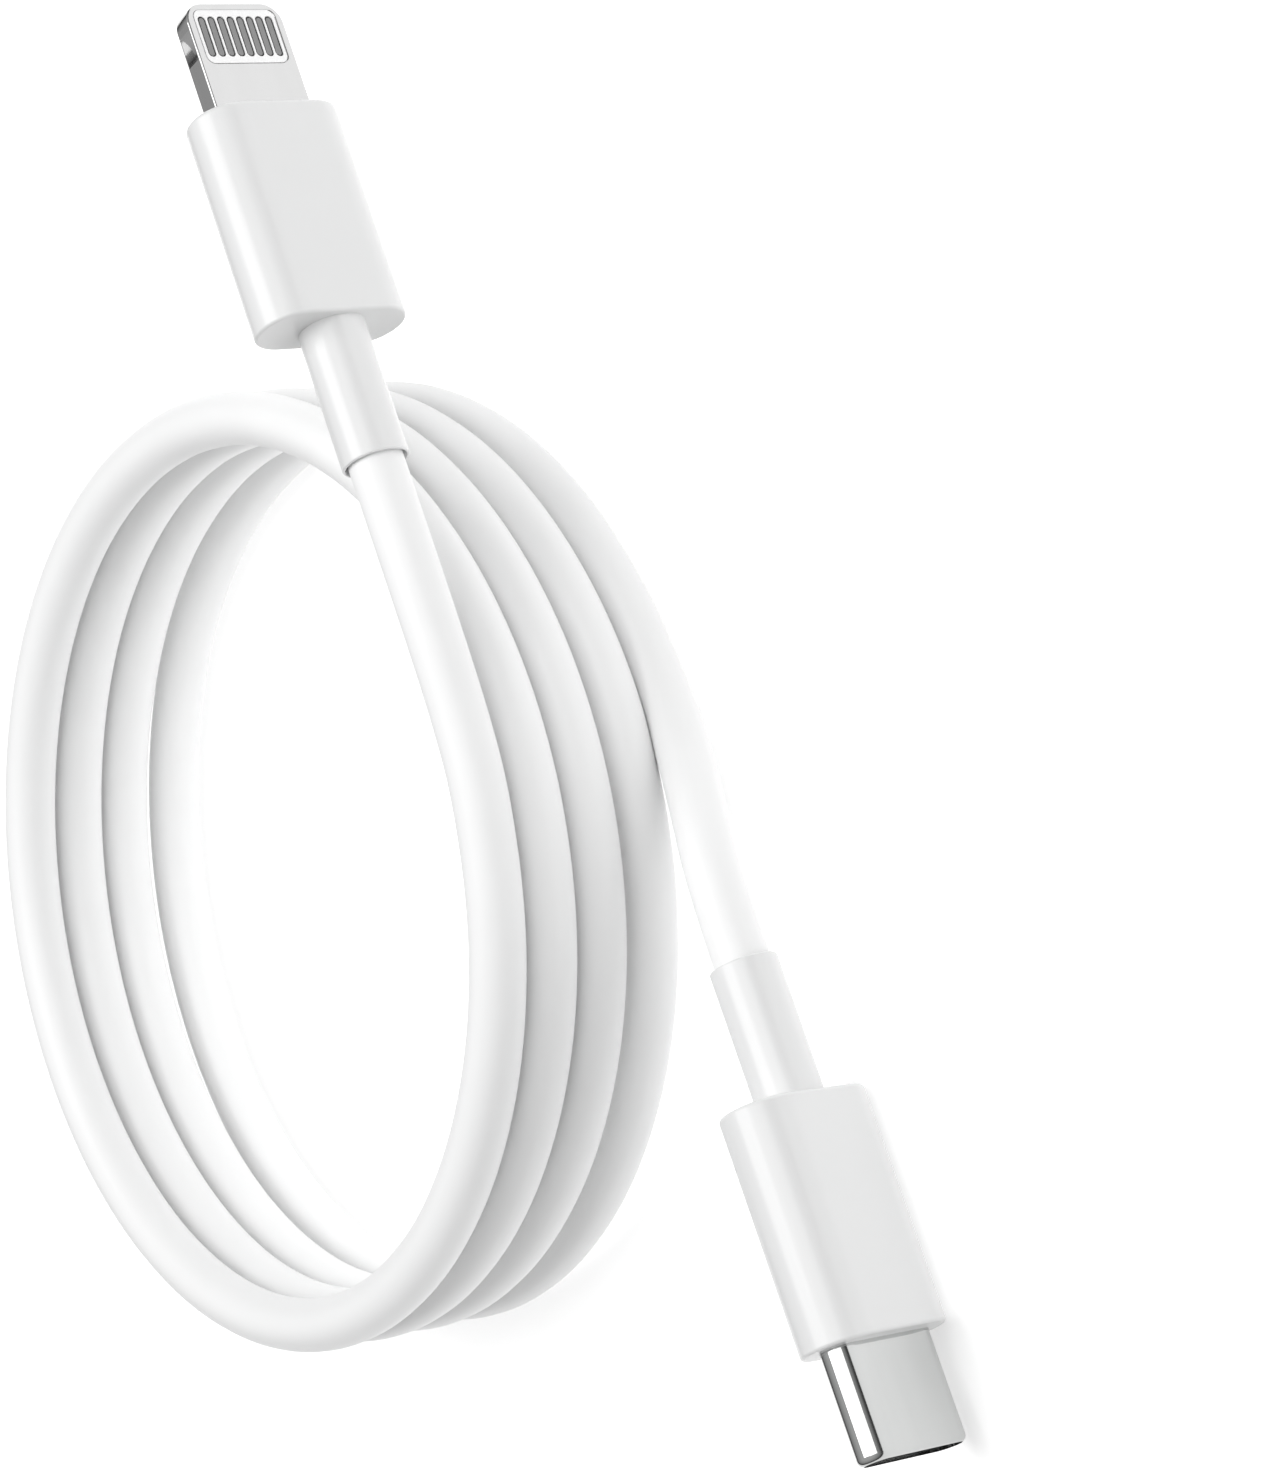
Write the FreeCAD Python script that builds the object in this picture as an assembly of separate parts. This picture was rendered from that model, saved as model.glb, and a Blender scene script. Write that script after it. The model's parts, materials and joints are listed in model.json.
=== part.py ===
import FreeCAD, Part
import math
import os

os.makedirs("parts", exist_ok=True)

# A white charging cable, wound into a coil of four turns that lies flat on a table.
# Its two plugs lie side by side with the coil and point opposite ways along X:
# an eight-contact tab plug towards +X and a 24-contact oval plug towards -X.
# Millimetres, +Z up. The origin is under the middle of the two plugs, on the table.

V = FreeCAD.Vector

# ---- driving dimensions: the cord ----
cord_d = 3.35
coil_r = 28.4                 # radius at the middle of the cord
coil_x = 2.65
coil_y = 31.32
turn_pitch = 3.6
coil_top = 15.85              # mean height of the wound turns
upper_step_z = 14.2           # floor of the step on the ring that the tab plug's lead lies over
upper_step_l = 18.0
lower_step_z = 4.8            # ceiling of the step under the ring that the oval plug's lead leaves by
lower_step_l = 14.0
step_reach = 9.0              # half width of both steps, more than the ring's own width

# ---- driving dimensions: the plugs as placed ----
plug_reach = 46.7             # each plug's metal tip from the origin, along X
plug_offset = 1.6             # sideways offset between the plugs' axes
tab_axis_z = 17.24
oval_roll = 10.0              # the oval plug leans this much about its own axis
boot_d = 4.07
wall = 0.6
end_wall = 1.2
jacket_lip = 0.22             # flare of a boot's bore where the cord comes out

# ---- tab plug: eight contacts on each face of a thin metal tab ----
tab_w = 6.7
tab_t = 1.5
tab_out = 7.5
tab_in = 3.0
tab_corner = 1.3
tab_house_w = 9.9
tab_house_t = 4.95
tab_house_l = 14.0
tab_boot_l = 8.75
win_l = 3.6
win_w = 5.6
win_tip = 0.45
win_corner = 0.5
pill_n = 8
pill_pitch = 0.67
pill_w = 0.45
pill_l = 2.65
pill_gap = 0.05

# ---- oval plug: an oval steel shell around a slot with two rows of twelve contacts ----
shell_w = 8.25
shell_t = 2.4
shell_out = 6.65
shell_in = 3.0
shell_wall = 0.3
oval_house_w = 10.2
oval_house_t = 5.1
oval_house_l = 14.3
oval_boot_l = 8.5
slot_half_w = 3.3
slot_half_t = 0.4
strip_n = 12
strip_pitch = 0.5
strip_w = 0.25
strip_t = 0.12

# ---- placing, worked out from the sizes above ----
roll = math.radians(oval_roll)
oval_round = oval_house_t / 2
oval_flat = (oval_house_w - oval_house_t) / 2
oval_half_y = oval_flat * math.sin(roll) + oval_round
oval_axis_z = oval_flat * math.cos(roll) + oval_round
tab_half_y = tab_house_t / 2
tab_axis_y = (plug_offset + oval_half_y - tab_half_y) / 2
oval_axis_y = tab_axis_y - plug_offset
tab_face_x = plug_reach - tab_out
oval_face_x = -(plug_reach - shell_out)


# ---- small helpers: plugs are made pointing along +X, width along Z, thickness along Y ----
def box(x0, x1, y0, y1, z0, z1):
    return Part.makeBox(x1 - x0, y1 - y0, z1 - z0, V(x0, y0, z0))


def rod(d, x0, x1, y=0.0, z=0.0):
    return Part.makeCylinder(d / 2, x1 - x0, V(x0, y, z), V(1, 0, 0))


def stadium(w, t, x0, x1):
    # flat faces towards +Y and -Y, full round sides towards +Z and -Z
    r = t / 2
    h = w / 2 - r
    a = V(x0, r, -h)
    b = V(x0, r, h)
    c = V(x0, -r, h)
    d = V(x0, -r, -h)
    edges = [
        Part.LineSegment(a, b).toShape(),
        Part.Arc(b, V(x0, 0, h + r), c).toShape(),
        Part.LineSegment(c, d).toShape(),
        Part.Arc(d, V(x0, 0, -h - r), a).toShape(),
    ]
    return Part.Face(Part.Wire(edges)).extrude(V(x1 - x0, 0, 0))


def round_end(shape, x, r):
    edges = [e for e in shape.Edges if abs(e.BoundBox.XMin - x) < 1e-4 and abs(e.BoundBox.XMax - x) < 1e-4]
    return shape.makeFillet(r, edges)


def pill(length, width, x_mid, z_mid, y0, y1):
    r = width / 2
    x0 = x_mid - length / 2 + r
    x1 = x_mid + length / 2 - r
    body = box(x0, x1, y0, y1, z_mid - r, z_mid + r)
    for x in (x0, x1):
        body = body.fuse(Part.makeCylinder(r, y1 - y0, V(x, y0, z_mid), V(0, 1, 0)))
    return body.removeSplitter()


def row(n, pitch):
    return [(i - (n - 1) / 2) * pitch for i in range(n)]


def cut_all(shape, tools):
    for tool in tools:
        shape = shape.cut(tool)
    return shape


def place_tab(shape):
    out = shape.copy()
    out.translate(V(tab_face_x, tab_axis_y, tab_axis_z))
    return out


def place_oval(shape):
    out = shape.copy()
    out.rotate(V(0, 0, 0), V(0, 0, 1), 180)
    out.rotate(V(0, 0, 0), V(1, 0, 0), oval_roll)
    out.translate(V(oval_face_x, oval_axis_y, oval_axis_z))
    return out


def save(name, shape):
    kinds = [s.isValid() for s in shape.Solids]
    valid = all(kinds) and shape.isValid()
    print(name, "solids", len(kinds), "volume", round(shape.Volume, 3), "valid", valid)
    shape.exportStep("parts/" + name + ".step")


def save_group(name, shapes):
    save(name, Part.makeCompound(shapes))


# ---- what both plugs share: board trimmings, cable end, boot ----
def small_parts(spots, y_face, size):
    # spots: (x, z, side) of surface-mount parts on the board's two faces
    length, width, height = size
    out = []
    for x, z, side in spots:
        y0 = y_face if side > 0 else -y_face - height
        out.append(box(x - length / 2, x + length / 2, y0, y0 + height, z - width / 2, z + width / 2))
    return out


def wire_ends(x0, x1, y):
    # four insulated wires, two on each face of the board
    return [rod(0.6, x0, x1, sy * y, sz * 0.6) for sy in (-1, 1) for sz in (-1, 1)]


def shield(x0, x1, half_y, half_z, front, hole_d):
    skin = 0.15
    outer = box(x0, x1, -half_y, half_y, -half_z, half_z)
    inner = box(x0 + skin, x1 - skin, skin - half_y, half_y - skin, skin - half_z, half_z - skin)
    front_y, front_z = front
    mouth = box(x1 - 2 * skin, x1 + skin, -front_y, front_y, -front_z, front_z)
    return cut_all(outer, [inner, mouth, rod(hole_d, x0 - skin, x0 + 2 * skin)])


def boot(x_free, x_inner):
    body = round_end(rod(boot_d, x_free, x_inner), x_free, 0.18)
    flare = Part.makeCone(cord_d / 2 + jacket_lip, cord_d / 2, 0.6, V(x_free, 0, 0), V(1, 0, 0))
    return cut_all(body, [rod(cord_d, x_free - 1, x_inner + 1), flare])


def cable_end(prefix, place, x_free, x_front, crimp_back, sleeve_d, crimp_d):
    save(prefix + "_jacket_end", place(rod(cord_d, x_free, x_front)))
    sleeve = rod(sleeve_d, crimp_back, x_front).cut(rod(cord_d, x_free, x_front + 1))
    save(prefix + "_braid_sleeve", place(sleeve))
    crimp = rod(crimp_d, crimp_back, x_front).cut(rod(sleeve_d, crimp_back - 1, x_front + 1))
    save(prefix + "_crimp", place(crimp))


# ---- the eight-contact tab plug ----
def tab_plug():
    tip = tab_out
    hw = tab_w / 2
    ht = tab_t / 2
    win_x1 = tip - win_tip
    win_x0 = win_x1 - win_l
    board_half_y = 0.3
    board_half_z = 2.4
    can_x0 = -9.4
    can_half_y = 1.35
    can_half_z = 3.3
    jacket_front = can_x0 - 0.2
    crimp_back = -12.0

    # metal frame: a flat tab with rounded tip corners, a latch pocket in each side, a window
    plate = box(-tab_in, tip, -ht, ht, -hw, hw)
    corners = [e for e in plate.Edges if abs(e.BoundBox.XMin - tip) < 1e-4 and e.BoundBox.YLength > 1]
    plate = plate.makeFillet(tab_corner, corners)
    front = [e for e in plate.Edges if e.BoundBox.YLength < 1e-4 and e.BoundBox.XMax > 0]
    plate = plate.makeFillet(0.15, front)
    notch_r = 1.8
    notch_x = tip - 2.7
    notch_z = hw + notch_r - 0.3
    notch_half = ht - 0.17
    notches = []
    for side in (-1, 1):
        at = V(notch_x, -notch_half, side * notch_z)
        notches.append(Part.makeCylinder(notch_r, 2 * notch_half, at, V(0, 1, 0)))
    window = box(win_x0, win_x1, -1, 1, -win_w / 2, win_w / 2)
    upright = [e for e in window.Edges if e.BoundBox.YLength > 1]
    window = window.makeFillet(win_corner, upright)
    channel = box(-tab_in - 1, win_x0 + 0.5, -board_half_y, board_half_y, -board_half_z, board_half_z)
    save("tab_frame", place_tab(cut_all(plate, notches + [window, channel])))

    # circuit board: a tongue that runs up into the window, wider behind the frame
    board_tip = win_x0 + 2.7
    tongue = box(-9.0, board_tip, -board_half_y, board_half_y, -board_half_z, board_half_z)
    wide = box(-9.0, -tab_in - 0.2, -board_half_y, board_half_y, -2.9, 2.9)
    save("tab_board", place_tab(tongue.fuse(wide).removeSplitter()))

    # white insert in the window, with a pocket for each contact
    insert_half = ht - 0.03
    insert = box(win_x0, win_x1, -insert_half, insert_half, -win_w / 2, win_w / 2)
    upright = [e for e in insert.Edges if e.BoundBox.YLength > 1]
    insert = insert.makeFillet(win_corner, upright)
    insert = insert.cut(tongue)
    mid = (win_x0 + win_x1) / 2
    pockets = []
    front_pills = []
    back_pills = []
    for z in row(pill_n, pill_pitch):
        for side in (-1, 1):
            low, high = (board_half_y, 1.0) if side > 0 else (-1.0, -board_half_y)
            pockets.append(pill(pill_l + 2 * pill_gap, pill_w + 2 * pill_gap, mid, z, low, high))
        pill_top = insert_half - 0.03
        front_pills.append(place_tab(pill(pill_l, pill_w, mid, z, -pill_top, -board_half_y)))
        back_pills.append(place_tab(pill(pill_l, pill_w, mid, z, board_half_y, pill_top)))
    save("tab_insert", place_tab(cut_all(insert, pockets)))
    save_group("tab_contacts_front", front_pills)
    save_group("tab_contacts_back", back_pills)

    # board trimmings
    chips = [
        box(-6.6, -4.6, board_half_y, board_half_y + 0.6, -1.1, 1.1),
        box(-6.2, -4.8, -board_half_y - 0.5, -board_half_y, -2.2, -0.8),
    ]
    save_group("tab_chips", [place_tab(c) for c in chips])
    spots = [(-5.0, 2.1, 1), (-5.9, 2.1, 1), (-5.0, -2.1, 1)]
    spots += [(-5.0, 0.4, -1), (-5.9, 0.4, -1), (-5.0, 1.6, -1)]
    save_group("tab_passives", [place_tab(c) for c in small_parts(spots, board_half_y, (0.6, 0.3, 0.3))])
    save_group("tab_wires", [place_tab(w) for w in wire_ends(jacket_front, -7.6, board_half_y + 0.3)])

    # screening can, cable end and clamp
    can = shield(can_x0, -tab_in, can_half_y, can_half_z, (board_half_y, board_half_z), 2.4)
    save("tab_shield_can", place_tab(can))
    x_free = -tab_house_l - tab_boot_l
    cable_end("tab", place_tab, x_free, jacket_front, crimp_back, 3.5, 3.7)

    # inner moulding around it all, front cap, outer housing, boot
    cavity_w = tab_house_w - 2 * wall
    cavity_t = tab_house_t - 2 * wall
    back = -tab_house_l + end_wall
    tab_block = box(-tab_in, 1, -ht, ht, -hw, hw)
    can_block = box(can_x0, -tab_in, -can_half_y, can_half_y, -can_half_z, can_half_z)
    fill = stadium(cavity_w, cavity_t, back, -end_wall)
    tail = [rod(3.7, crimp_back, can_x0), rod(cord_d, back - 1, crimp_back)]
    fill = cut_all(fill, [tab_block, can_block] + tail)
    save("tab_inner_mould", place_tab(fill))
    save("tab_front_cap", place_tab(stadium(cavity_w, cavity_t, -end_wall, 0).cut(tab_block)))
    shell = stadium(tab_house_w, tab_house_t, -tab_house_l, 0)
    shell = round_end(shell, -tab_house_l, 0.25)
    shell = round_end(shell, 0, 0.3)
    shell = cut_all(shell, [stadium(cavity_w, cavity_t, back, 1), rod(boot_d, -tab_house_l - 1, back + 1)])
    save("tab_housing", place_tab(shell))
    save("tab_boot", place_tab(boot(x_free, back)))


# ---- the 24-contact oval plug ----
def oval_plug():
    inner_w = shell_w - 2 * shell_wall
    inner_t = shell_t - 2 * shell_wall
    board_half_z = 3.3
    can_x0 = -10.4
    can_half_y = 1.55
    can_half_z = 3.6
    jacket_front = can_x0 - 0.2
    crimp_back = -12.9

    # drawn steel shell with a rounded rim
    body = round_end(stadium(shell_w, shell_t, -shell_in, shell_out), shell_out, 0.45)
    save("oval_shell", place_oval(body.cut(stadium(inner_w, inner_t, -shell_in - 1, shell_out + 1))))

    # contact strips on both sides of the slot, back onto the board
    strip_x0 = -4.0
    strip_x1 = 5.6
    lanes = {1: [], -1: []}
    for z in row(strip_n, strip_pitch):
        for side in (1, -1):
            near = side * slot_half_t
            far = side * (slot_half_t + strip_t)
            lane = box(strip_x0, strip_x1, min(near, far), max(near, far), z - strip_w / 2, z + strip_w / 2)
            lanes[side].append(lane)
    save_group("oval_contacts_top", [place_oval(s) for s in lanes[1]])
    save_group("oval_contacts_bottom", [place_oval(s) for s in lanes[-1]])

    # latch plate: a flat base in the carrier with a springy arm along each side of the slot
    slot_x0 = 0.9
    plate = box(-2.8, slot_x0, -0.1, 0.1, -3.25, 3.25)
    for side in (-1, 1):
        arm = sorted((side * 3.05, side * 3.25))
        hook = sorted((side * 2.9, side * 3.05))
        plate = plate.fuse(box(slot_x0, 4.9, -0.1, 0.1, arm[0], arm[1]))
        plate = plate.fuse(box(4.3, 4.9, -0.1, 0.1, hook[0], hook[1]))
    plate = plate.removeSplitter()
    save("oval_latch_plate", place_oval(plate))

    # grounding springs: a comb of fingers above and below the slot's mouth
    springs = []
    for side in (-1, 1):
        y = sorted((side * 0.78, side * 0.9))
        sheet = box(4.2, 6.0, y[0], y[1], -2.3, 2.3)
        gaps = [box(4.8, 6.1, -1, 1, z - 0.12, z + 0.12) for z in row(4, 1.1)]
        springs.append(cut_all(sheet, gaps))
    save_group("oval_ground_springs", [place_oval(s) for s in springs])

    # contact carrier that holds them all inside the shell
    carrier_tip = 6.2
    carrier = stadium(inner_w, inner_t, -shell_in, carrier_tip)
    slot = box(slot_x0, carrier_tip + 1, -slot_half_t, slot_half_t, -slot_half_w, slot_half_w)
    carrier = cut_all(carrier, [slot, plate] + springs + lanes[1] + lanes[-1])
    save("oval_contact_carrier", place_oval(carrier))

    # board and trimmings
    board = box(-10.0, -shell_in, -slot_half_t, slot_half_t, -board_half_z, board_half_z)
    save("oval_board", place_oval(board))
    save("oval_chip", place_oval(box(-7.4, -5.4, slot_half_t, slot_half_t + 0.6, -1.0, 1.0)))
    spots = [(x, z, side) for side in (-1, 1) for x in (-5.0, -6.2) for z in (-2.4, 2.4)]
    save_group("oval_passives", [place_oval(c) for c in small_parts(spots, slot_half_t, (0.6, 0.3, 0.3))])
    save_group("oval_wires", [place_oval(w) for w in wire_ends(jacket_front, -8.4, slot_half_t + 0.3)])

    # screening can, cable end and clamp
    can = shield(can_x0, -shell_in, can_half_y, can_half_z, (0.55, board_half_z), 2.6)
    save("oval_shield_can", place_oval(can))
    x_free = -oval_house_l - oval_boot_l
    cable_end("oval", place_oval, x_free, jacket_front, crimp_back, 3.5, 3.8)

    # inner moulding, outer housing with a closed front, rear cap, boot
    cavity_w = oval_house_w - 2 * wall
    cavity_t = oval_house_t - 2 * wall
    back = -oval_house_l + end_wall
    shell_block = stadium(shell_w, shell_t, -shell_in, 1)
    can_block = box(can_x0, -shell_in, -can_half_y, can_half_y, -can_half_z, can_half_z)
    fill = stadium(cavity_w, cavity_t, back, -end_wall)
    tail = [rod(3.8, crimp_back, can_x0), rod(cord_d, back - 1, crimp_back)]
    fill = cut_all(fill, [shell_block, can_block] + tail)
    save("oval_inner_mould", place_oval(fill))
    shell = round_end(stadium(oval_house_w, oval_house_t, back, 0), 0, 0.25)
    cavity = stadium(cavity_w, cavity_t, back - 1, -end_wall)
    shell = cut_all(shell, [cavity, stadium(shell_w, shell_t, -2, 1)])
    save("oval_housing", place_oval(shell))
    cap = round_end(stadium(oval_house_w, oval_house_t, -oval_house_l, back), -oval_house_l, 0.25)
    save("oval_rear_cap", place_oval(cap.cut(rod(boot_d, -oval_house_l - 1, back + 1))))
    save("oval_boot", place_oval(boot(x_free, back)))


# ---- the cord: two gently bent leads and a wound ring ----
def on_turn(angle):
    # a point of the ring's centre line and the heading there; 0 is the side nearest the plugs
    a = math.radians(angle)
    point = (coil_x - coil_r * math.sin(a), coil_y - coil_r * math.cos(a))
    return point, (-math.cos(a), math.sin(a))


join_tab = 12.8               # degrees round the ring where the tab plug's lead joins the top turn
join_oval = -9.0              # and where the oval plug's lead leaves the bottom turn
(tab_join_x, tab_join_y), tab_heading = on_turn(join_tab)
(oval_join_x, oval_join_y), oval_heading = on_turn(join_oval)
tab_end_x = tab_face_x - tab_house_l - tab_boot_l
oval_end_x = oval_face_x + oval_house_l + oval_boot_l

# hand-laid routes, from each boot to the ring
tab_route = [
    (tab_end_x, tab_axis_y, tab_axis_z),
    (12.45, tab_axis_y, tab_axis_z),
    (7.05, 1.66, 16.8),
    (1.4, 2.48, 16.26),
    (tab_join_x, tab_join_y, 15.96),
]
oval_route = [
    (oval_end_x, oval_axis_y, oval_axis_z),
    (-12.25, oval_axis_y, oval_axis_z),
    (-7.15, 0.25, 3.75),
    (-2.35, 1.5, 2.25),
    (2.55, 2.55, 1.7),
    (oval_join_x, oval_join_y, 1.7),
]


def tube(name, points):
    # straight runs joined by tangent arcs, each as large as its two runs allow
    pts = [V(*p) for p in points]
    edges = []
    at = pts[0]
    length = 0.0
    radii = []
    for before, corner, after in zip(pts, pts[1:], pts[2:]):
        u = (corner - before).normalize()
        w = (after - corner).normalize()
        turn = u.getAngle(w)
        shorter = min((corner - before).Length, (after - corner).Length)
        radius = 0.45 * shorter / math.tan(turn / 2)
        trim = 0.45 * shorter
        start = corner - u * trim
        end = corner + w * trim
        centre = corner + (w - u).normalize() * (radius / math.cos(turn / 2))
        middle = centre + (corner - centre).normalize() * radius
        edges.append(Part.LineSegment(at, start).toShape())
        edges.append(Part.Arc(start, middle, end).toShape())
        length += (start - at).Length + radius * turn
        radii.append(round(radius, 1))
        at = end
    edges.append(Part.LineSegment(at, pts[-1]).toShape())
    length += (pts[-1] - at).Length
    profile = Part.Wire([Part.makeCircle(cord_d / 2, pts[0], pts[1] - pts[0])])
    solid = Part.Wire(edges).makePipeShell([profile], True, False)
    section = math.pi * cord_d ** 2 / 4
    ratio = round(solid.Volume / section / length, 4)
    print(name, "length", round(length, 2), "radii", radii, "volume ratio", ratio)
    return solid, length


def lead_step(x, y, heading, length, z0, z1):
    # a straight-sided step cut across the ring, from where a lead joins it
    angle = math.degrees(math.atan2(heading[1], heading[0]))
    block = Part.makeBox(length, 2 * step_reach, z1 - z0, V(0, -step_reach, z0))
    block.rotate(V(0, 0, 0), V(0, 0, 1), angle)
    block.translate(V(x, y, 0))
    return block


def wound_ring():
    inner = coil_r - cord_d / 2
    outer = coil_r + cord_d / 2
    centre = V(coil_x, coil_y, 0)
    ring = Part.makeCylinder(outer, coil_top, centre).cut(Part.makeCylinder(inner, coil_top, centre))
    back_along_tab = (-tab_heading[0], -tab_heading[1])
    upper = lead_step(tab_join_x, tab_join_y, back_along_tab, upper_step_l, upper_step_z, coil_top + 5)
    lower = lead_step(oval_join_x, oval_join_y, oval_heading, lower_step_l, -5, lower_step_z)
    return cut_all(ring, [upper, lower])


def cord():
    tab_tube, tab_length = tube("tab_lead", tab_route)
    oval_tube, oval_length = tube("oval_lead", oval_route)
    turns = 4 + (join_oval - join_tab) / 360
    wound = turns * math.hypot(2 * math.pi * coil_r, turn_pitch)
    total = wound + tab_length + oval_length
    print("turns", round(turns, 3), "wound", round(wound, 1), "cord", round(total, 1))
    save("tab_lead", tab_tube)
    save("oval_lead", oval_tube)
    save("coil", wound_ring())


tab_plug()
oval_plug()
cord()
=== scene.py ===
import json
import math
import bmesh
import bpy
from mathutils import Matrix, Vector


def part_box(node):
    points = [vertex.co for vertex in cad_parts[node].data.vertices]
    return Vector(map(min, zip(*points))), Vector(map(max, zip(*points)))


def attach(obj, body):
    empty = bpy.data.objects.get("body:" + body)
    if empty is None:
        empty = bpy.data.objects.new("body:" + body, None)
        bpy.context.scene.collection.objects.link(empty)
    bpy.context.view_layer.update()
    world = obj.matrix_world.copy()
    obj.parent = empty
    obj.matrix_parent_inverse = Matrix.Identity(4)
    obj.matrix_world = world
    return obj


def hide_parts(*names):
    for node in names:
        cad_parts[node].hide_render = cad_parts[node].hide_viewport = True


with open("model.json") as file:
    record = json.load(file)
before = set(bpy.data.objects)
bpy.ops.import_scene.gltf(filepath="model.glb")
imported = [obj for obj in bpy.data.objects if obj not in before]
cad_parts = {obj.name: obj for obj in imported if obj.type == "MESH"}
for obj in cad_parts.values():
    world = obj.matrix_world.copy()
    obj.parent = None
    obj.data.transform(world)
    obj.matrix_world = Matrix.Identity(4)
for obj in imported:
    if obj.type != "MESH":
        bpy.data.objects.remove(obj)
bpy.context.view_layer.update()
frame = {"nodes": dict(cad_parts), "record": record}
nodes = frame["nodes"]
MM = 0.001

# ---- camera: in front of the coil and above it, rolled so that the plugs stand upright ----
CAMERA_AT = Vector((-70.50, -194.26, 160.28)) * MM
CAMERA_BACK = Vector((-0.2644, -0.7554, 0.5996))     # from the object towards the camera
CAMERA_UP = Vector((0.9112, -0.3994, -0.1014))
CAMERA_LENS = 108.46

# ---- the cord's route, the same points as the CAD leads, in metres ----
CORD_D = 3.35 * MM
TAB_ROUTE = [
    (0.01645, 0.00106, 0.01724),
    (0.01245, 0.00106, 0.01724),
    (0.00705, 0.00166, 0.0168),
    (0.0014, 0.00248, 0.01626),
]
OVAL_ROUTE = [
    (0.00255, 0.00255, 0.0017),
    (-0.00235, 0.0015, 0.00225),
    (-0.00715, 0.00025, 0.00375),
    (-0.01225, -0.00054, 0.00506),
    (-0.01725, -0.00054, 0.00506),
]
COIL_FROM = 12.8              # degrees round the coil where the tab plug's lead joins the top turn
COIL_TO = 4 * 360 - 9.0       # and where the oval plug's lead leaves the bottom turn
COIL_POINTS = 24              # control points a turn
COIL_TOP_Z = 15.96 * MM
COIL_LOW_Z = 1.72 * MM
COIL_SAG = 0.5                # the middle of the bottom turn lies a quarter of this lower, in turns

# ---- the plugs' sizes ----
TAB_HOUSE = (9.9 * MM, 4.95 * MM, 14.0 * MM)          # width, thickness, length
OVAL_HOUSE = (10.2 * MM, 5.1 * MM, 14.3 * MM)
OVAL_LEAN = 10                                        # degrees about the plug's own axis
WALL = 0.6 * MM
END_WALL = 2 * WALL
BOOT_D = 4.07 * MM
TAB_BOOT_L = 8.75 * MM
OVAL_BOOT_L = 8.5 * MM
TAB_METAL = (6.7 * MM, 1.5 * MM, 7.5 * MM)            # width, thickness, length out of the housing
OVAL_METAL = (8.25 * MM, 2.4 * MM, 6.65 * MM)
METAL_BEHIND = 3 * MM                                 # how far both run back into their housings
WINDOW_L = 3.6 * MM
WINDOW_HALF_W = 2.8 * MM
WINDOW_TIP = 0.45 * MM                                # metal left between the window and the tip
CONTACT_PITCH = 0.67 * MM
ARC_STEPS = 14


def make_camera():
    data = bpy.data.cameras.new("camera")
    data.lens = CAMERA_LENS
    data.clip_start = 0.01
    data.clip_end = 10
    cam = bpy.data.objects.new("camera", data)
    back = CAMERA_BACK.normalized()
    right = CAMERA_UP.cross(back).normalized()
    up = back.cross(right)
    turn = Matrix((right, up, back)).transposed().to_4x4()
    cam.matrix_world = Matrix.Translation(CAMERA_AT) @ turn
    bpy.context.scene.collection.objects.link(cam)
    bpy.context.scene.camera = cam


# ---- the cord ----
def coil_points():
    low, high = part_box("coil")
    centre_x = (low[0] + high[0]) / 2
    centre_y = (low[1] + high[1]) / 2
    radius = (high[0] - low[0] - CORD_D) / 2
    # control points stand outside the curve that they make
    control_r = radius / math.cos(math.pi / COIL_POINTS)
    turns = (COIL_TO - COIL_FROM) / 360
    count = round(turns * COIL_POINTS)
    points = []
    for i in range(count + 1):
        angle = COIL_FROM + (COIL_TO - COIL_FROM) * i / count
        a = math.radians(angle)
        turns_up = (COIL_TO - angle) / 360
        height = turns_up
        if turns_up < 1:
            # the bottom turn sags towards the table
            height -= COIL_SAG * turns_up * (1 - turns_up)
        z = COIL_LOW_Z + height * (COIL_TOP_Z - COIL_LOW_Z) / turns
        points.append((centre_x - control_r * math.sin(a), centre_y - control_r * math.cos(a), z))
    return points


def mesh_of(obj):
    bpy.context.view_layer.update()
    return bpy.data.meshes.new_from_object(obj.evaluated_get(bpy.context.evaluated_depsgraph_get()))


def make_cord():
    # one smooth curve from boot to boot, its centre line kept as the path and its tube as the piece
    data = bpy.data.curves.new("charging_cord", "CURVE")
    data.dimensions = "3D"
    data.resolution_u = 8
    points = TAB_ROUTE + coil_points() + OVAL_ROUTE
    spline = data.splines.new("NURBS")
    spline.points.add(len(points) - 1)
    for target, p in zip(spline.points, points):
        target.co = (*p, 1)
    spline.order_u = 3
    spline.use_endpoint_u = True
    curve = bpy.data.objects.new("charging_cord_curve", data)
    bpy.context.scene.collection.objects.link(curve)
    line = mesh_of(curve)
    path = [tuple(v.co) for v in line.vertices]
    bpy.data.meshes.remove(line)
    data.bevel_depth = CORD_D / 2
    data.bevel_resolution = 10
    data.use_fill_caps = True
    tube = mesh_of(curve)
    bpy.data.objects.remove(curve)
    tube.name = "charging_cord"
    for face in tube.polygons:
        face.use_smooth = True
    cord = bpy.data.objects.new("charging_cord", tube)
    bpy.context.scene.collection.objects.link(cord)
    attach(cord, "root")
    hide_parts("tab_lead", "coil", "oval_lead")
    return cord, path


make_camera()
cord, cord_path = make_cord()


# ---- where the plugs are, from the frame ----
def plug_frame(face, forward, lean):
    # a plug's own axes: X out of its metal end, Y across its thickness, Z across its width
    turn = Matrix.Rotation(math.radians(lean), 4, "X") @ Matrix.Rotation(forward, 4, "Z")
    return Matrix.Translation(face) @ turn


tab_low, tab_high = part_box("tab_housing")
oval_low, oval_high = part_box("oval_housing")
tab_mid = (Vector(tab_low) + Vector(tab_high)) / 2
oval_mid = (Vector(oval_low) + Vector(oval_high)) / 2
TAB = plug_frame((tab_high[0], tab_mid.y, tab_mid.z), 0, 0)
OVAL = plug_frame((oval_low[0], oval_mid.y, oval_mid.z), math.pi, OVAL_LEAN)


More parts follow.
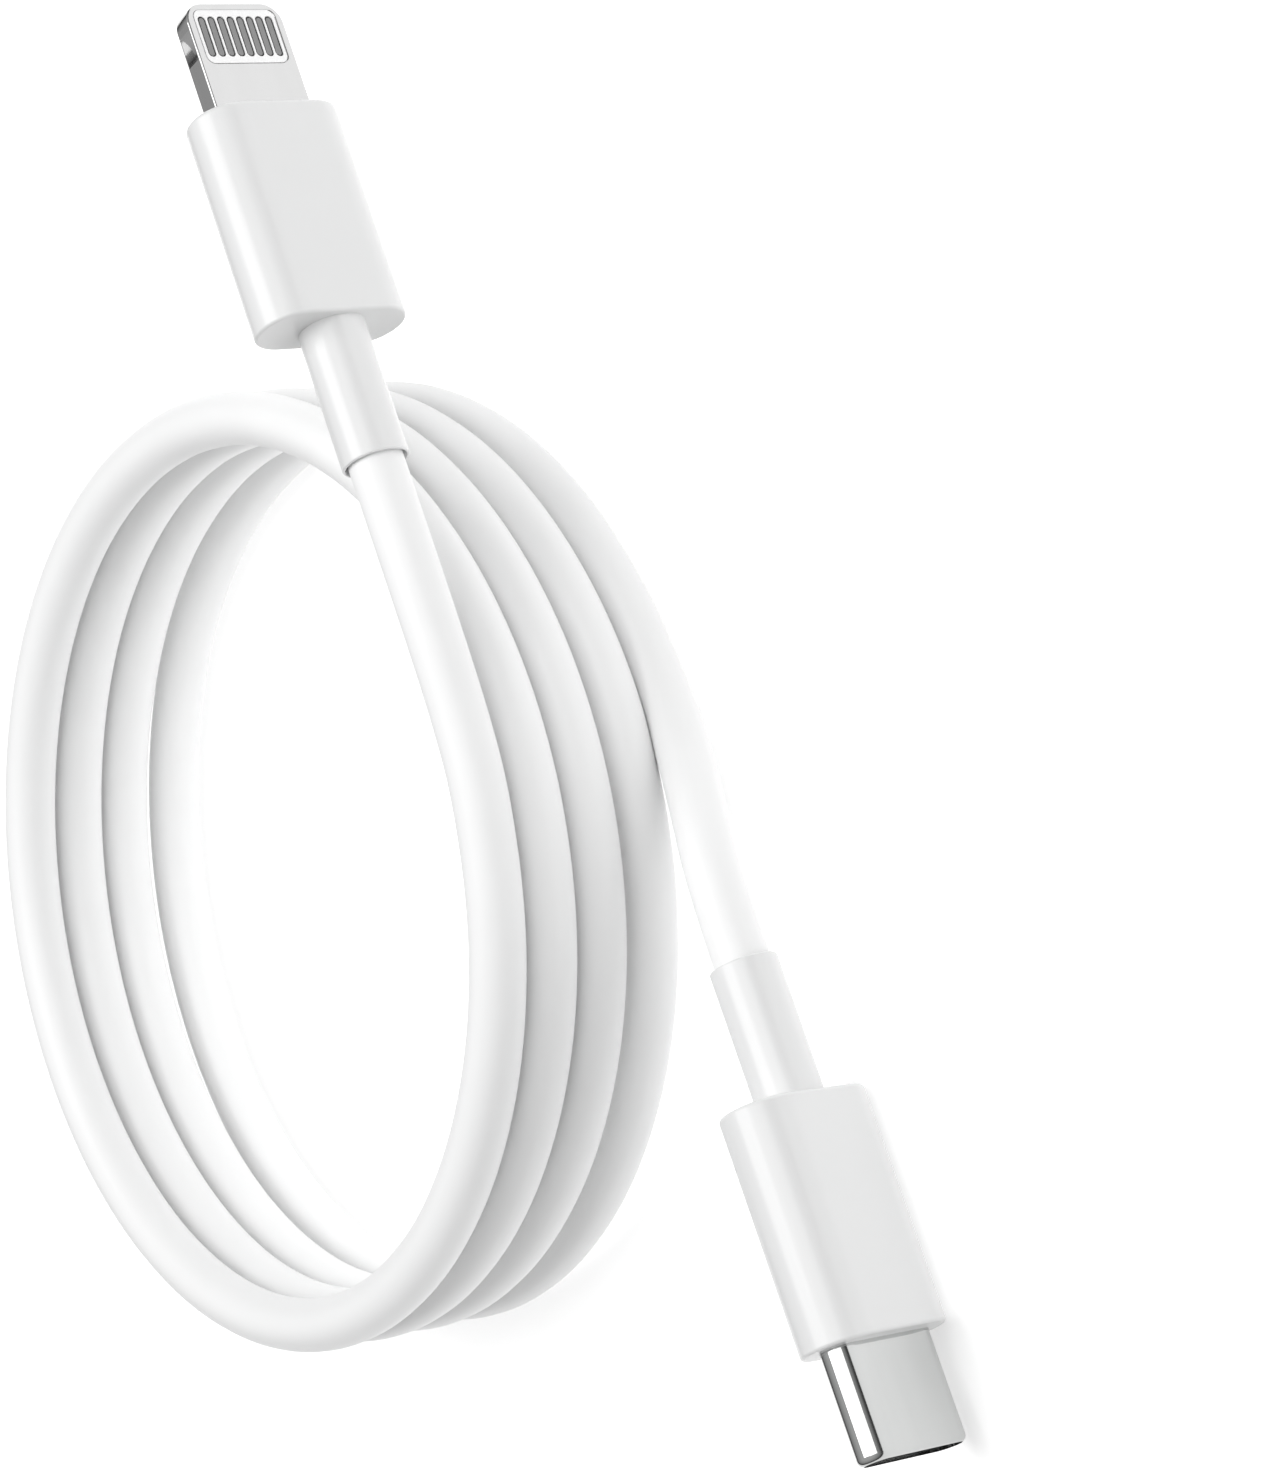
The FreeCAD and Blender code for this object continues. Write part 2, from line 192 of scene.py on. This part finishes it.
# ---- outlines and rings ----
def arc(cx, cz, radius, start, end, steps):
    out = []
    for i in range(steps + 1):
        a = math.radians(start + (end - start) * i / steps)
        out.append((cx + radius * math.cos(a), cz + radius * math.sin(a)))
    return out


def section(x, width, thickness, corner):
    # a rounded rectangle across the plug's axis; a corner of half the thickness makes a stadium
    hw = width / 2 - corner
    ht = thickness / 2 - corner
    out = []
    for quarter, (sz, sy) in enumerate(((1, 1), (-1, 1), (-1, -1), (1, -1))):
        for i in range(ARC_STEPS + 1):
            a = math.pi / 2 * (quarter + i / ARC_STEPS)
            out.append((x, sy * ht + corner * math.sin(a), sz * hw + corner * math.cos(a)))
    return out


def stadium_ring(x, width, thickness, inset=0.0):
    return section(x, width - 2 * inset, thickness - 2 * inset, thickness / 2 - inset)


def round_ring(x, diameter):
    return section(x, diameter, diameter, diameter / 2)


def pill_ring(x, y, z, length, width):
    r = width / 2
    half = length / 2 - r
    outline = arc(x + half, z, r, -90, 90, 10) + arc(x - half, z, r, 90, 270, 10)
    return [(px, y, pz) for px, pz in outline]


def rounding(x_end, inward, radius, steps=7):
    # (x, inset) stations of a quarter round, from the end face out to the side
    out = []
    for i in range(steps + 1):
        a = math.pi / 2 * i / steps
        out.append((x_end + inward * radius * (1 - math.cos(a)), radius * (1 - math.sin(a))))
    return out


# ---- mesh helpers ----
def finish_piece(name, mesh):
    for face in mesh.polygons:
        face.use_smooth = True
    mesh.set_sharp_from_angle(angle=math.radians(40))
    obj = bpy.data.objects.new(name, mesh)
    bpy.context.scene.collection.objects.link(obj)
    keep_flat = obj.modifiers.new("flat_faces_stay_flat", "WEIGHTED_NORMAL")
    keep_flat.keep_sharp = True
    keep_flat.weight = 90
    return obj


def loft(name, shells, place, capped=False):
    # each shell is a row of rings: it runs back to its first ring, or is capped at both ends
    mesh = bpy.data.meshes.new(name)
    bm = bmesh.new()
    for rings in shells:
        made = [[bm.verts.new(p) for p in ring] for ring in rings]
        pairs = list(zip(made, made[1:]))
        if capped:
            bm.faces.new(made[0])
            bm.faces.new(made[-1])
        else:
            pairs.append((made[-1], made[0]))
        for a, b in pairs:
            for i in range(len(a)):
                j = (i + 1) % len(a)
                bm.faces.new((a[i], a[j], b[j], b[i]))
    bmesh.ops.remove_doubles(bm, verts=bm.verts, dist=1e-7)
    bmesh.ops.recalc_face_normals(bm, faces=bm.faces)
    bm.transform(place)
    bm.to_mesh(mesh)
    bm.free()
    return finish_piece(name, mesh)


def flat_piece(name, outlines, thickness, edge):
    # a plate cut to shape: its first outline is the rim and the others are holes, edges rounded
    data = bpy.data.curves.new(name, "CURVE")
    data.dimensions = "2D"
    data.fill_mode = "BOTH"
    data.extrude = thickness / 2 - edge
    data.bevel_depth = edge
    data.bevel_resolution = 4
    data.offset = -edge
    for outline in outlines:
        spline = data.splines.new("POLY")
        spline.points.add(len(outline) - 1)
        for target, (x, z) in zip(spline.points, outline):
            target.co = (x, z, 0, 1)
        spline.use_cyclic_u = True
    shape = bpy.data.objects.new(name, data)
    bpy.context.scene.collection.objects.link(shape)
    mesh = mesh_of(shape)
    bpy.data.objects.remove(shape)
    bm = bmesh.new()
    bm.from_mesh(mesh)
    bmesh.ops.remove_doubles(bm, verts=bm.verts, dist=1e-7)
    bmesh.ops.recalc_face_normals(bm, faces=bm.faces)
    bm.transform(Matrix.Rotation(math.pi / 2, 4, "X"))
    bm.to_mesh(mesh)
    bm.free()
    mesh.name = name
    return mesh


def drum(radius, length, x, z):
    # a cutter that lies across the plug's thickness
    mesh = bpy.data.meshes.new("drum")
    bm = bmesh.new()
    bmesh.ops.create_cone(bm, cap_ends=True, segments=160, radius1=radius, radius2=radius, depth=length)
    bm.transform(Matrix.Translation((x, 0, z)) @ Matrix.Rotation(math.pi / 2, 4, "X"))
    bm.to_mesh(mesh)
    bm.free()
    obj = bpy.data.objects.new("drum", mesh)
    bpy.context.scene.collection.objects.link(obj)
    return obj


def cut_with(mesh, cutters, place):
    # cut the cutters' shapes out of the mesh, then put it in its place
    whole = bpy.data.objects.new("whole", mesh)
    bpy.context.scene.collection.objects.link(whole)
    for cutter in cutters:
        step = whole.modifiers.new("cut", "BOOLEAN")
        step.operation = "DIFFERENCE"
        step.solver = "EXACT"
        step.object = cutter
    out = mesh_of(whole)
    for obj in cutters + [whole]:
        bpy.data.objects.remove(obj)
    out.materials.clear()
    out.transform(place)
    return out


def dressed(obj, material, replaced):
    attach(obj, "root")
    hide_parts(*replaced)
    obj.data.materials.clear()
    obj.data.materials.append(material)


# ---- materials ----
def new_material(name, colour, roughness, metallic=0.0, **sockets):
    mat = bpy.data.materials.new(name)
    mat.use_nodes = True
    shader = mat.node_tree.nodes["Principled BSDF"]
    shader.inputs["Base Color"].default_value = (*colour, 1)
    shader.inputs["Roughness"].default_value = roughness
    shader.inputs["Metallic"].default_value = metallic
    for key, value in sockets.items():
        shader.inputs[key.replace("_", " ")].default_value = value
    return mat, shader


def noise(mat, scale, detail, stretch=(1, 1, 1)):
    tree = mat.node_tree
    where = tree.nodes.new("ShaderNodeTexCoord")
    mapping = tree.nodes.new("ShaderNodeMapping")
    mapping.inputs["Scale"].default_value = stretch
    tree.links.new(where.outputs["Object"], mapping.inputs["Vector"])
    tex = tree.nodes.new("ShaderNodeTexNoise")
    tex.inputs["Scale"].default_value = scale
    tex.inputs["Detail"].default_value = detail
    tree.links.new(mapping.outputs["Vector"], tex.inputs["Vector"])
    return tex


# most of a noise's values lie between these two
NOISE_LOW = 0.3
NOISE_HIGH = 0.7


def vary_colour(mat, shader, tex, dark, light):
    ramp = mat.node_tree.nodes.new("ShaderNodeValToRGB")
    ramp.color_ramp.elements[0].position = NOISE_LOW
    ramp.color_ramp.elements[0].color = (*dark, 1)
    ramp.color_ramp.elements[1].position = NOISE_HIGH
    ramp.color_ramp.elements[1].color = (*light, 1)
    mat.node_tree.links.new(tex.outputs["Fac"], ramp.inputs["Fac"])
    mat.node_tree.links.new(ramp.outputs["Color"], shader.inputs["Base Color"])


def vary_roughness(mat, shader, tex, low, high):
    spread = mat.node_tree.nodes.new("ShaderNodeMapRange")
    spread.inputs["From Min"].default_value = NOISE_LOW
    spread.inputs["From Max"].default_value = NOISE_HIGH
    spread.inputs["To Min"].default_value = low
    spread.inputs["To Max"].default_value = high
    mat.node_tree.links.new(tex.outputs["Fac"], spread.inputs["Value"])
    mat.node_tree.links.new(spread.outputs["Result"], shader.inputs["Roughness"])


def bump(mat, shader, tex, height, strength):
    node = mat.node_tree.nodes.new("ShaderNodeBump")
    node.inputs["Distance"].default_value = height
    node.inputs["Strength"].default_value = strength
    mat.node_tree.links.new(tex.outputs["Fac"], node.inputs["Height"])
    mat.node_tree.links.new(node.outputs["Normal"], shader.inputs["Normal"])


def moulded(name, colour, roughness, grain=9000, height=4e-6, coat=0.0, tint=0.012):
    # moulded plastic or rubber: a fine spark-eroded grain and a very faint cloudiness
    mat, shader = new_material(name, colour, roughness, Coat_Weight=coat, Coat_Roughness=0.22)
    cloud = noise(mat, scale=260, detail=3)
    dark = [c * (1 - tint) for c in colour]
    light = [min(1, c * (1 + tint)) for c in colour]
    vary_colour(mat, shader, cloud, dark, light)
    fine = noise(mat, scale=grain, detail=3)
    bump(mat, shader, fine, height, strength=0.3)
    vary_roughness(mat, shader, fine, low=roughness - 0.04, high=roughness + 0.05)
    return mat


def polished(name, colour, low, high, stretch, height=6e-7):
    # metal with faint lines drawn out along the axis where stretch is small, its roughness
    # between low and high
    mat, shader = new_material(name, colour, low, metallic=1.0)
    lines = noise(mat, scale=900, detail=5, stretch=stretch)
    vary_roughness(mat, shader, lines, low, high)
    bump(mat, shader, lines, height, strength=0.25)
    vary_colour(mat, shader, lines, dark=[c * 0.97 for c in colour], light=colour)
    return mat


ALONG_PLUG = (0.15, 1, 1)
ALONG_CONTACT = (0.2, 1, 1)
ACROSS_PLUG = (1, 1, 0.2)

HOUSING = moulded(
    "satin_white_plastic", (0.77, 0.773, 0.773), roughness=0.33, height=1e-6, coat=0.5, tint=0.003)
CORD = moulded(
    "soft_white_jacket", (0.895, 0.897, 0.897), roughness=0.42, grain=6000, height=4e-6, tint=0.005)
INSERT = moulded(
    "insert_white_plastic", (0.97, 0.97, 0.97), roughness=0.25, height=1e-6, coat=0.4, tint=0.002)
INNER = moulded("inner_plastic", (0.78, 0.78, 0.75), roughness=0.5)
CARRIER = moulded("carrier_black_plastic", (0.03, 0.03, 0.032), roughness=0.4)
BOARD = moulded("board_green", (0.02, 0.10, 0.05), roughness=0.35)
CHIP = moulded("chip_black", (0.015, 0.015, 0.016), roughness=0.45)
PASSIVE = moulded("passive_tan", (0.25, 0.16, 0.08), roughness=0.4)
WIRE = moulded("wire_red", (0.42, 0.03, 0.02), roughness=0.35)
STEEL = polished("polished_steel", (0.525, 0.532, 0.528), 0.06, 0.12, ALONG_PLUG, height=2e-7)
TAB_STEEL = polished("satin_steel", (0.58, 0.58, 0.58), 0.10, 0.18, ALONG_PLUG, height=2e-7)
PLAIN = polished("plain_steel", (0.55, 0.55, 0.54), 0.25, 0.4, ACROSS_PLUG)
CONTACT = polished("contact_metal", (0.22, 0.22, 0.22), 0.2, 0.35, ALONG_CONTACT)
# near-black: painted shade for the shadowed pocket round each contact
CONTACT_POCKET_SHADE = moulded("contact_pocket_painted_shade", (0.02, 0.02, 0.02), roughness=0.6)
GOLD = polished("gold_contact", (0.85, 0.62, 0.25), 0.12, 0.22, ALONG_CONTACT)

SLOT_LOOKS = {
    "housing_white": HOUSING, "cord_white": CORD, "insert_white": INSERT, "polished_steel": STEEL,
    "plain_steel": PLAIN, "contact_metal": CONTACT, "gold_contact": GOLD, "carrier_plastic": CARRIER,
    "board_green": BOARD, "chip_black": CHIP, "passive_tan": PASSIVE, "wire_sheath": WIRE,
    "inner_plastic": INNER,
}
for row in frame["record"]["subparts"]:
    cad = nodes[row["node"]]
    cad.data.materials.clear()
    cad.data.materials.append(SLOT_LOOKS[row["material_slot"]])
cord.data.materials.append(CORD)


# ---- the plugs ----
def housing(name, size, place, round_front, round_rear, front_hole, replaced):
    # a closed shell: round its front hole, over the outside, round its rear hole and back inside
    width, thickness, length = size
    rings = [front_hole(-END_WALL), front_hole(0)]
    for x, inset in rounding(0, -1, round_front):
        rings.append(stadium_ring(x, width, thickness, inset))
    for x, inset in reversed(rounding(-length, 1, round_rear)):
        rings.append(stadium_ring(x, width, thickness, inset))
    rings += [round_ring(-length, BOOT_D), round_ring(END_WALL - length, BOOT_D)]
    rings.append(stadium_ring(END_WALL - length, width, thickness, WALL))
    rings.append(stadium_ring(-END_WALL, width, thickness, WALL))
    dressed(loft(name, [rings], place), HOUSING, replaced)


def boot(name, place, x_free, x_inner, replaced):
    # a plain sleeve with a softly rounded free end and a small flare where the cord comes out
    lip = 0.22 * MM
    flare = 0.6 * MM
    edge = 0.12 * MM
    rings = [round_ring(x_inner, BOOT_D)]
    for x, inset in reversed(rounding(x_free, 1, edge)):
        rings.append(round_ring(x, BOOT_D - 2 * inset))
    rings.append(round_ring(x_free, CORD_D + 2 * lip))
    rings.append(round_ring(x_free + flare, CORD_D))
    rings.append(round_ring(x_inner, CORD_D))
    dressed(loft(name, [rings], place), HOUSING, replaced)


def oval_metal(name, place):
    # a thin shell, its open end rolled over to a round rim
    width, thickness, out = OVAL_METAL
    skin = 0.3 * MM
    rim = 0.45 * MM
    steps = 10
    first = math.asin(1 - skin / rim)
    rings = [stadium_ring(-METAL_BEHIND, width, thickness)]
    for i in range(steps + 1):
        a = math.pi / 2 + (first - math.pi / 2) * i / steps
        inset = rim * (1 - math.sin(a))
        rings.append(stadium_ring(out - rim * (1 - math.cos(a)), width, thickness, inset))
    rings.append(stadium_ring(-METAL_BEHIND, width, thickness, skin))
    dressed(loft(name, [rings], place), STEEL, ["oval_shell"])


def tab_outline():
    width, _, out = TAB_METAL
    half = width / 2
    tip_r = 1.3 * MM
    rim = [(-METAL_BEHIND, -half)]
    rim += arc(out - tip_r, tip_r - half, tip_r, -90, 0, 20)
    rim += arc(out - tip_r, half - tip_r, tip_r, 0, 90, 20)
    rim.append((-METAL_BEHIND, half))
    return rim


def tab_window():
    x1 = TAB_METAL[2] - WINDOW_TIP
    x0 = x1 - WINDOW_L
    r = 0.5 * MM
    hole = arc(x1 - r, WINDOW_HALF_W - r, r, 0, 90, 8)
    hole += arc(x0 + r, WINDOW_HALF_W - r, r, 90, 180, 8)
    hole += arc(x0 + r, r - WINDOW_HALF_W, r, 180, 270, 8)
    hole += arc(x1 - r, r - WINDOW_HALF_W, r, 270, 360, 8)
    return hole


def tab_metal(name, place):
    # a plate with a window, and a shallow round latch pocket in each narrow side
    width, thickness, out = TAB_METAL
    edge = 0.14 * MM
    notch_r = 1.8 * MM
    notch_depth = 0.3 * MM
    notch_from_tip = 2.7 * MM
    notch_height = thickness - 0.34 * MM
    plate = flat_piece(name, [tab_outline(), tab_window()], thickness, edge)
    reach = width / 2 + notch_r - notch_depth
    notches = [drum(notch_r, notch_height, out - notch_from_tip, side * reach) for side in (-1, 1)]
    plate = finish_piece(name, cut_with(plate, notches, place))
    dressed(plate, TAB_STEEL, ["tab_frame"])


def tab_contacts(side, where, place):
    # eight contacts with softly rounded edges, each on a near-black rim that fills its pocket: painted
    # shade for the recessed pocket's shadow
    x = TAB_METAL[2] - WINDOW_TIP - WINDOW_L / 2
    base, shade_top, top = (side * depth * MM for depth in (0.3, 0.65, 0.69))
    shade_l, shade_w = 2.75 * MM, 0.55 * MM
    pad_l, pad_w = 2.58 * MM, 0.38 * MM
    edge = 0.02 * MM
    pads = []
    pocket_shades = []
    for i in range(8):
        z = (i - 3.5) * CONTACT_PITCH
        pocket_shades.append([pill_ring(x, y, z, shade_l, shade_w) for y in (base, shade_top)])
        pad = [pill_ring(x, y, z, pad_l, pad_w) for y in (shade_top, top - side * edge)]
        pad.append(pill_ring(x, top, z, pad_l - 2 * edge, pad_w - 2 * edge))
        pads.append(pad)
    replaced = ["tab_contacts_" + where]
    dressed(loft("tab_contact_pads_" + where, pads, place, True), CONTACT, replaced)
    # the near-black rims are painted shade for the pockets' shadow
    dressed(loft("tab_contact_pocket_shade_" + where, pocket_shades, place, True), CONTACT_POCKET_SHADE, replaced)


def tab_hole(x):
    # the tab's white front cap fills this opening
    return stadium_ring(x, TAB_HOUSE[0], TAB_HOUSE[1], WALL)


def oval_hole(x):
    return stadium_ring(x, OVAL_METAL[0], OVAL_METAL[1])


def make_plugs():
    tab_l = TAB_HOUSE[2]
    oval_l = OVAL_HOUSE[2]
    housing("tab_housing_shell", TAB_HOUSE, TAB, 0.3 * MM, 0.22 * MM, tab_hole, ["tab_housing"])
    boot("tab_boot_sleeve", TAB, -tab_l - TAB_BOOT_L, END_WALL - tab_l, ["tab_boot"])
    tab_metal("tab_metal_frame", TAB)
    tab_contacts(-1, "front", TAB)
    tab_contacts(1, "back", TAB)
    housing("oval_housing_shell", OVAL_HOUSE, OVAL, 0.22 * MM, 0.25 * MM, oval_hole,
            ["oval_housing", "oval_rear_cap"])
    boot("oval_boot_sleeve", OVAL, -oval_l - OVAL_BOOT_L, END_WALL - oval_l, ["oval_boot"])
    oval_metal("oval_metal_shell", OVAL)


make_plugs()


# ---- table and light ----
def make_table():
    mesh = bpy.data.meshes.new("table")
    bm = bmesh.new()
    bmesh.ops.create_grid(bm, x_segments=8, y_segments=8, size=1.5)
    bm.to_mesh(mesh)
    bm.free()
    table = bpy.data.objects.new("table", mesh)
    bpy.context.scene.collection.objects.link(table)
    mat, shader = new_material("pale_table", (0.93, 0.93, 0.93), roughness=0.6)
    shader.inputs["Emission Color"].default_value = (1, 1, 1, 1)
    shader.inputs["Emission Strength"].default_value = 0.35
    mesh.materials.append(mat)


def area_light(name, at, aim, size, energy):
    data = bpy.data.lights.new(name, "AREA")
    data.shape = "RECTANGLE"
    data.size, data.size_y = size
    data.energy = energy
    lamp = bpy.data.objects.new(name, data)
    turn = (Vector(at) - Vector(aim)).to_track_quat("Z", "Y").to_matrix().to_4x4()
    lamp.matrix_world = Matrix.Translation(at) @ turn
    bpy.context.scene.collection.objects.link(lamp)


def make_studio():
    # a soft surround: bright overhead, dimmer towards the horizon
    world = bpy.data.worlds.new("studio")
    world.use_nodes = True
    tree = world.node_tree
    where = tree.nodes.new("ShaderNodeTexCoord")
    split = tree.nodes.new("ShaderNodeSeparateXYZ")
    ramp = tree.nodes.new("ShaderNodeValToRGB")
    bands = ((0.0, 0.12), (0.14, 0.09), (0.34, 0.42), (0.8, 0.80))     # height and grey
    for i, (height, grey) in enumerate(bands):
        stop = ramp.color_ramp.elements[i] if i < 2 else ramp.color_ramp.elements.new(height)
        stop.position = height
        stop.color = (grey, grey, grey, 1)
    tree.links.new(where.outputs["Generated"], split.inputs["Vector"])
    tree.links.new(split.outputs["Z"], ramp.inputs["Fac"])
    tree.links.new(ramp.outputs["Color"], tree.nodes["Background"].inputs["Color"])
    tree.nodes["Background"].inputs["Strength"].default_value = 0.75
    bpy.context.scene.world = world


def make_light():
    aim = (0, 0.02, 0.01)
    area_light("top_soft", at=(0.12, 0.02, 0.45), aim=aim, size=(0.30, 0.30), energy=0.95)
    area_light("front_soft", at=(0.06, -0.26, 0.40), aim=aim, size=(0.26, 0.40), energy=0.6)
    make_studio()
    bpy.context.scene.view_settings.view_transform = "Standard"


make_table()
make_light()

bpy.context.view_layer.update()
